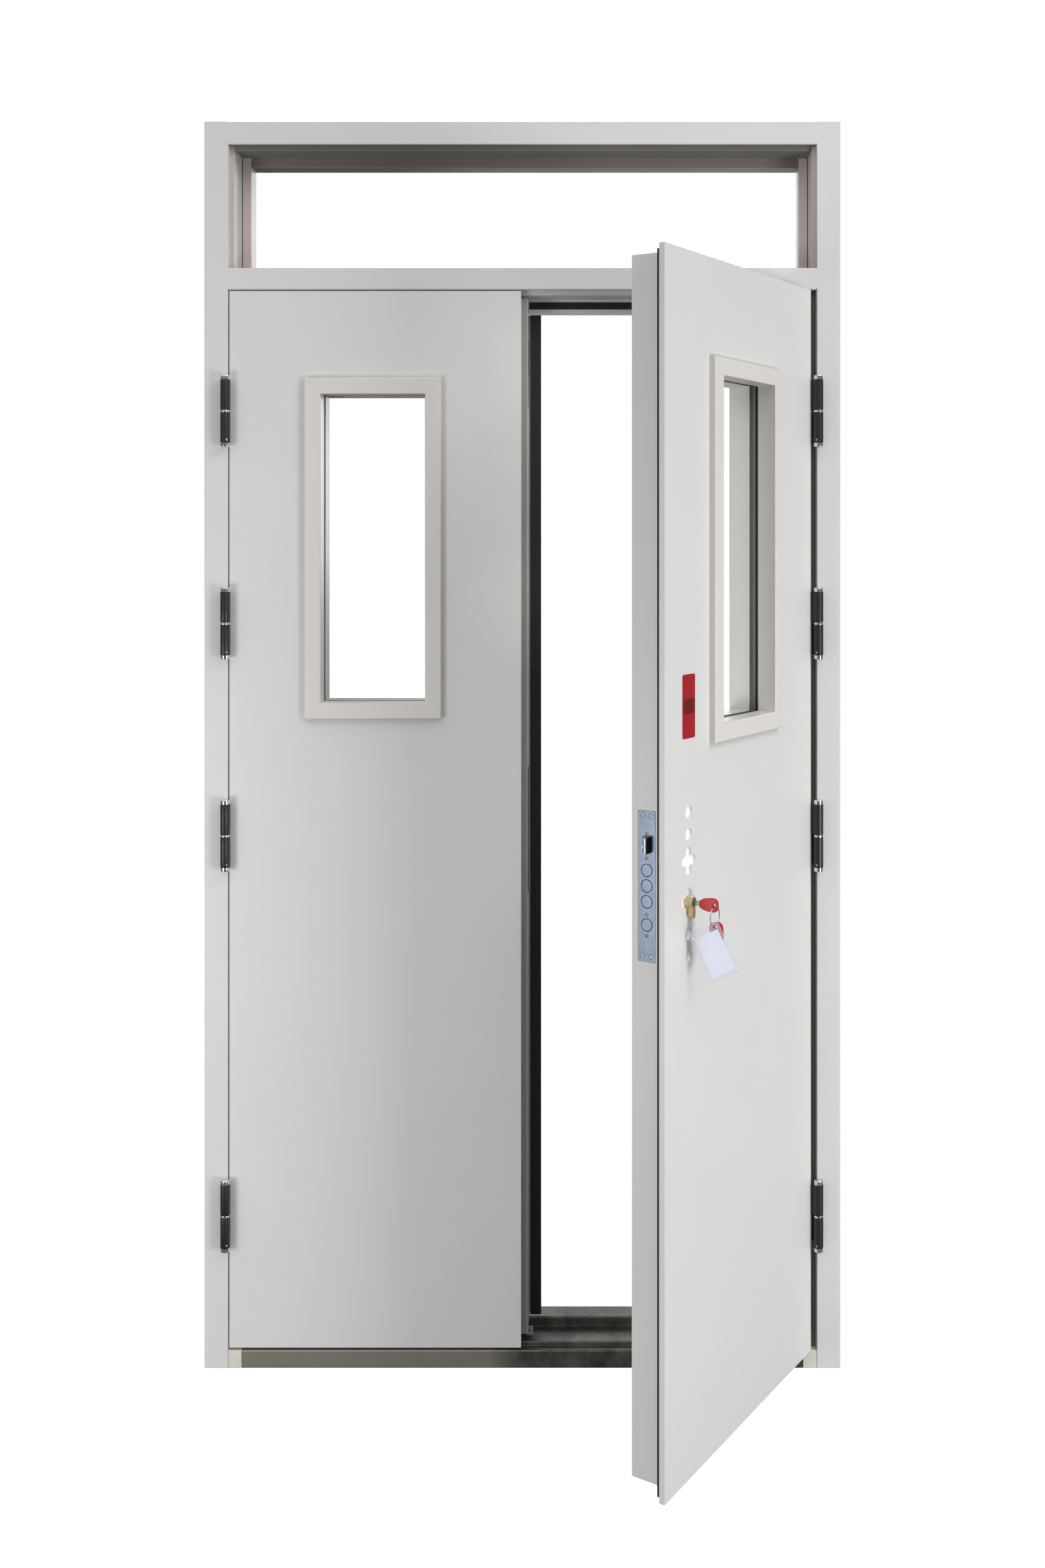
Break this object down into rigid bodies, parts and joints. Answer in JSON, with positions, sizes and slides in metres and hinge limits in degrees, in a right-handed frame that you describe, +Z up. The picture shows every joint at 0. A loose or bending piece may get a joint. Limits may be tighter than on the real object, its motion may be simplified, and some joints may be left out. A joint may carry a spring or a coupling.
{
  "type": "fire rated steel double door with frame and fanlight",
  "caption": "Folded steel double fire door: rebated frame with an open fanlight, leaves with glazed vision panels on lift-off hinges, and a lock edge with key.",
  "frame": {"origin": "middle of the sill's front floor flange, on the flange's underside", "axes": "+Z up, +X to the right across the opening seen from the pull side, +Y from the pull face into the wall"},
  "size_m": [1.2, 0.5966, 2.35],
  "materials": {
    "frame_coat": "light grey powder coat, satin",
    "leaf_coat": "light grey powder coat, satin",
    "bead_coat": "warm grey powder coat, satin",
    "sill_steel": "dull dark steel",
    "black_seal": "matt black",
    "hinge_black": "black coat",
    "mineral_core": "white, matt",
    "fire_glass": "clear",
    "zinc_steel": "zinc plated",
    "brass": "satin brass",
    "key_red": "moulded red plastic",
    "clear_plastic": "clear soft plastic pouch"
  },
  "bodies": {
    "frame": {"jamb_left": "frame_coat", "jamb_right": "frame_coat", "head": "frame_coat", "transom_rail": "frame_coat", "sill": "sill_steel", "sill_end_left": "frame_coat", "sill_end_right": "frame_coat", "stop_seal_left": "black_seal", "stop_seal_right": "black_seal", "stop_seal_head": "black_seal", "hinge_left_1_frame": "hinge_black", "hinge_left_2_frame": "hinge_black", "hinge_left_3_frame": "hinge_black", "hinge_left_4_frame": "hinge_black", "hinge_right_1_frame": "hinge_black", "hinge_right_2_frame": "hinge_black", "hinge_right_3_frame": "hinge_black", "hinge_right_4_frame": "hinge_black"},
    "passive_leaf": {"passive_front_skin": "leaf_coat", "passive_back_skin": "leaf_coat", "passive_core": "mineral_core", "passive_bead_front": "bead_coat", "passive_bead_back": "bead_coat", "passive_glazing_seal": "black_seal", "passive_glass": "fire_glass", "astragal": "leaf_coat", "meeting_seal": "black_seal", "strike_plate": "zinc_steel", "flush_bolt": "zinc_steel", "hinge_left_1_leaf": "hinge_black", "hinge_left_2_leaf": "hinge_black", "hinge_left_3_leaf": "hinge_black", "hinge_left_4_leaf": "hinge_black"},
    "active_leaf": {"active_front_skin": "leaf_coat", "active_back_skin": "leaf_coat", "active_core": "mineral_core", "active_bead_front": "bead_coat", "active_bead_back": "bead_coat", "active_glazing_seal": "black_seal", "active_glass": "fire_glass", "edge_strip": "black_seal", "lock_faceplate": "zinc_steel", "lock_cylinder": "brass", "hinge_right_1_leaf": "hinge_black", "hinge_right_2_leaf": "hinge_black", "hinge_right_3_leaf": "hinge_black", "hinge_right_4_leaf": "hinge_black"},
    "latch": {"latch_bolt": "zinc_steel"},
    "turning_key": {"cylinder_plug": "brass", "key": "key_red"},
    "hanging_ring": {"key_ring": "zinc_steel", "key_tag": "clear_plastic", "spare_key": "key_red"}
  },
  "joints": [
    {"name": "passive_leaf_hinge", "type": "hinge", "parent": "frame", "child": "passive_leaf", "pos_m": [-0.5565, -0.024, 1], "axis": [0, 0, -1], "range_deg": [0, 170]},
    {"name": "active_leaf_hinge", "type": "hinge", "parent": "frame", "child": "active_leaf", "pos_m": [0.5565, -0.024, 1], "axis": [0, 0, 1], "range_deg": [-58.5, 111.5]},
    {"name": "latch_slide", "type": "slide", "parent": "active_leaf", "child": "latch", "axis": [0.5225, 0.8526, 0], "range_m": [0, 0.012], "stiffness_N_per_m": 150},
    {"name": "key_turn", "type": "hinge", "parent": "active_leaf", "child": "turning_key", "pos_m": [0.29612, -0.42212, 0.975], "axis": [-0.8526, 0.5225, 0], "range_deg": [-360, 360]},
    {"name": "ring_swing", "type": "hinge", "parent": "turning_key", "child": "hanging_ring", "pos_m": [0.33704, -0.4472, 0.9735], "axis": [-0.5225, -0.8526, 0], "range_deg": [0, 80]}
  ]
}
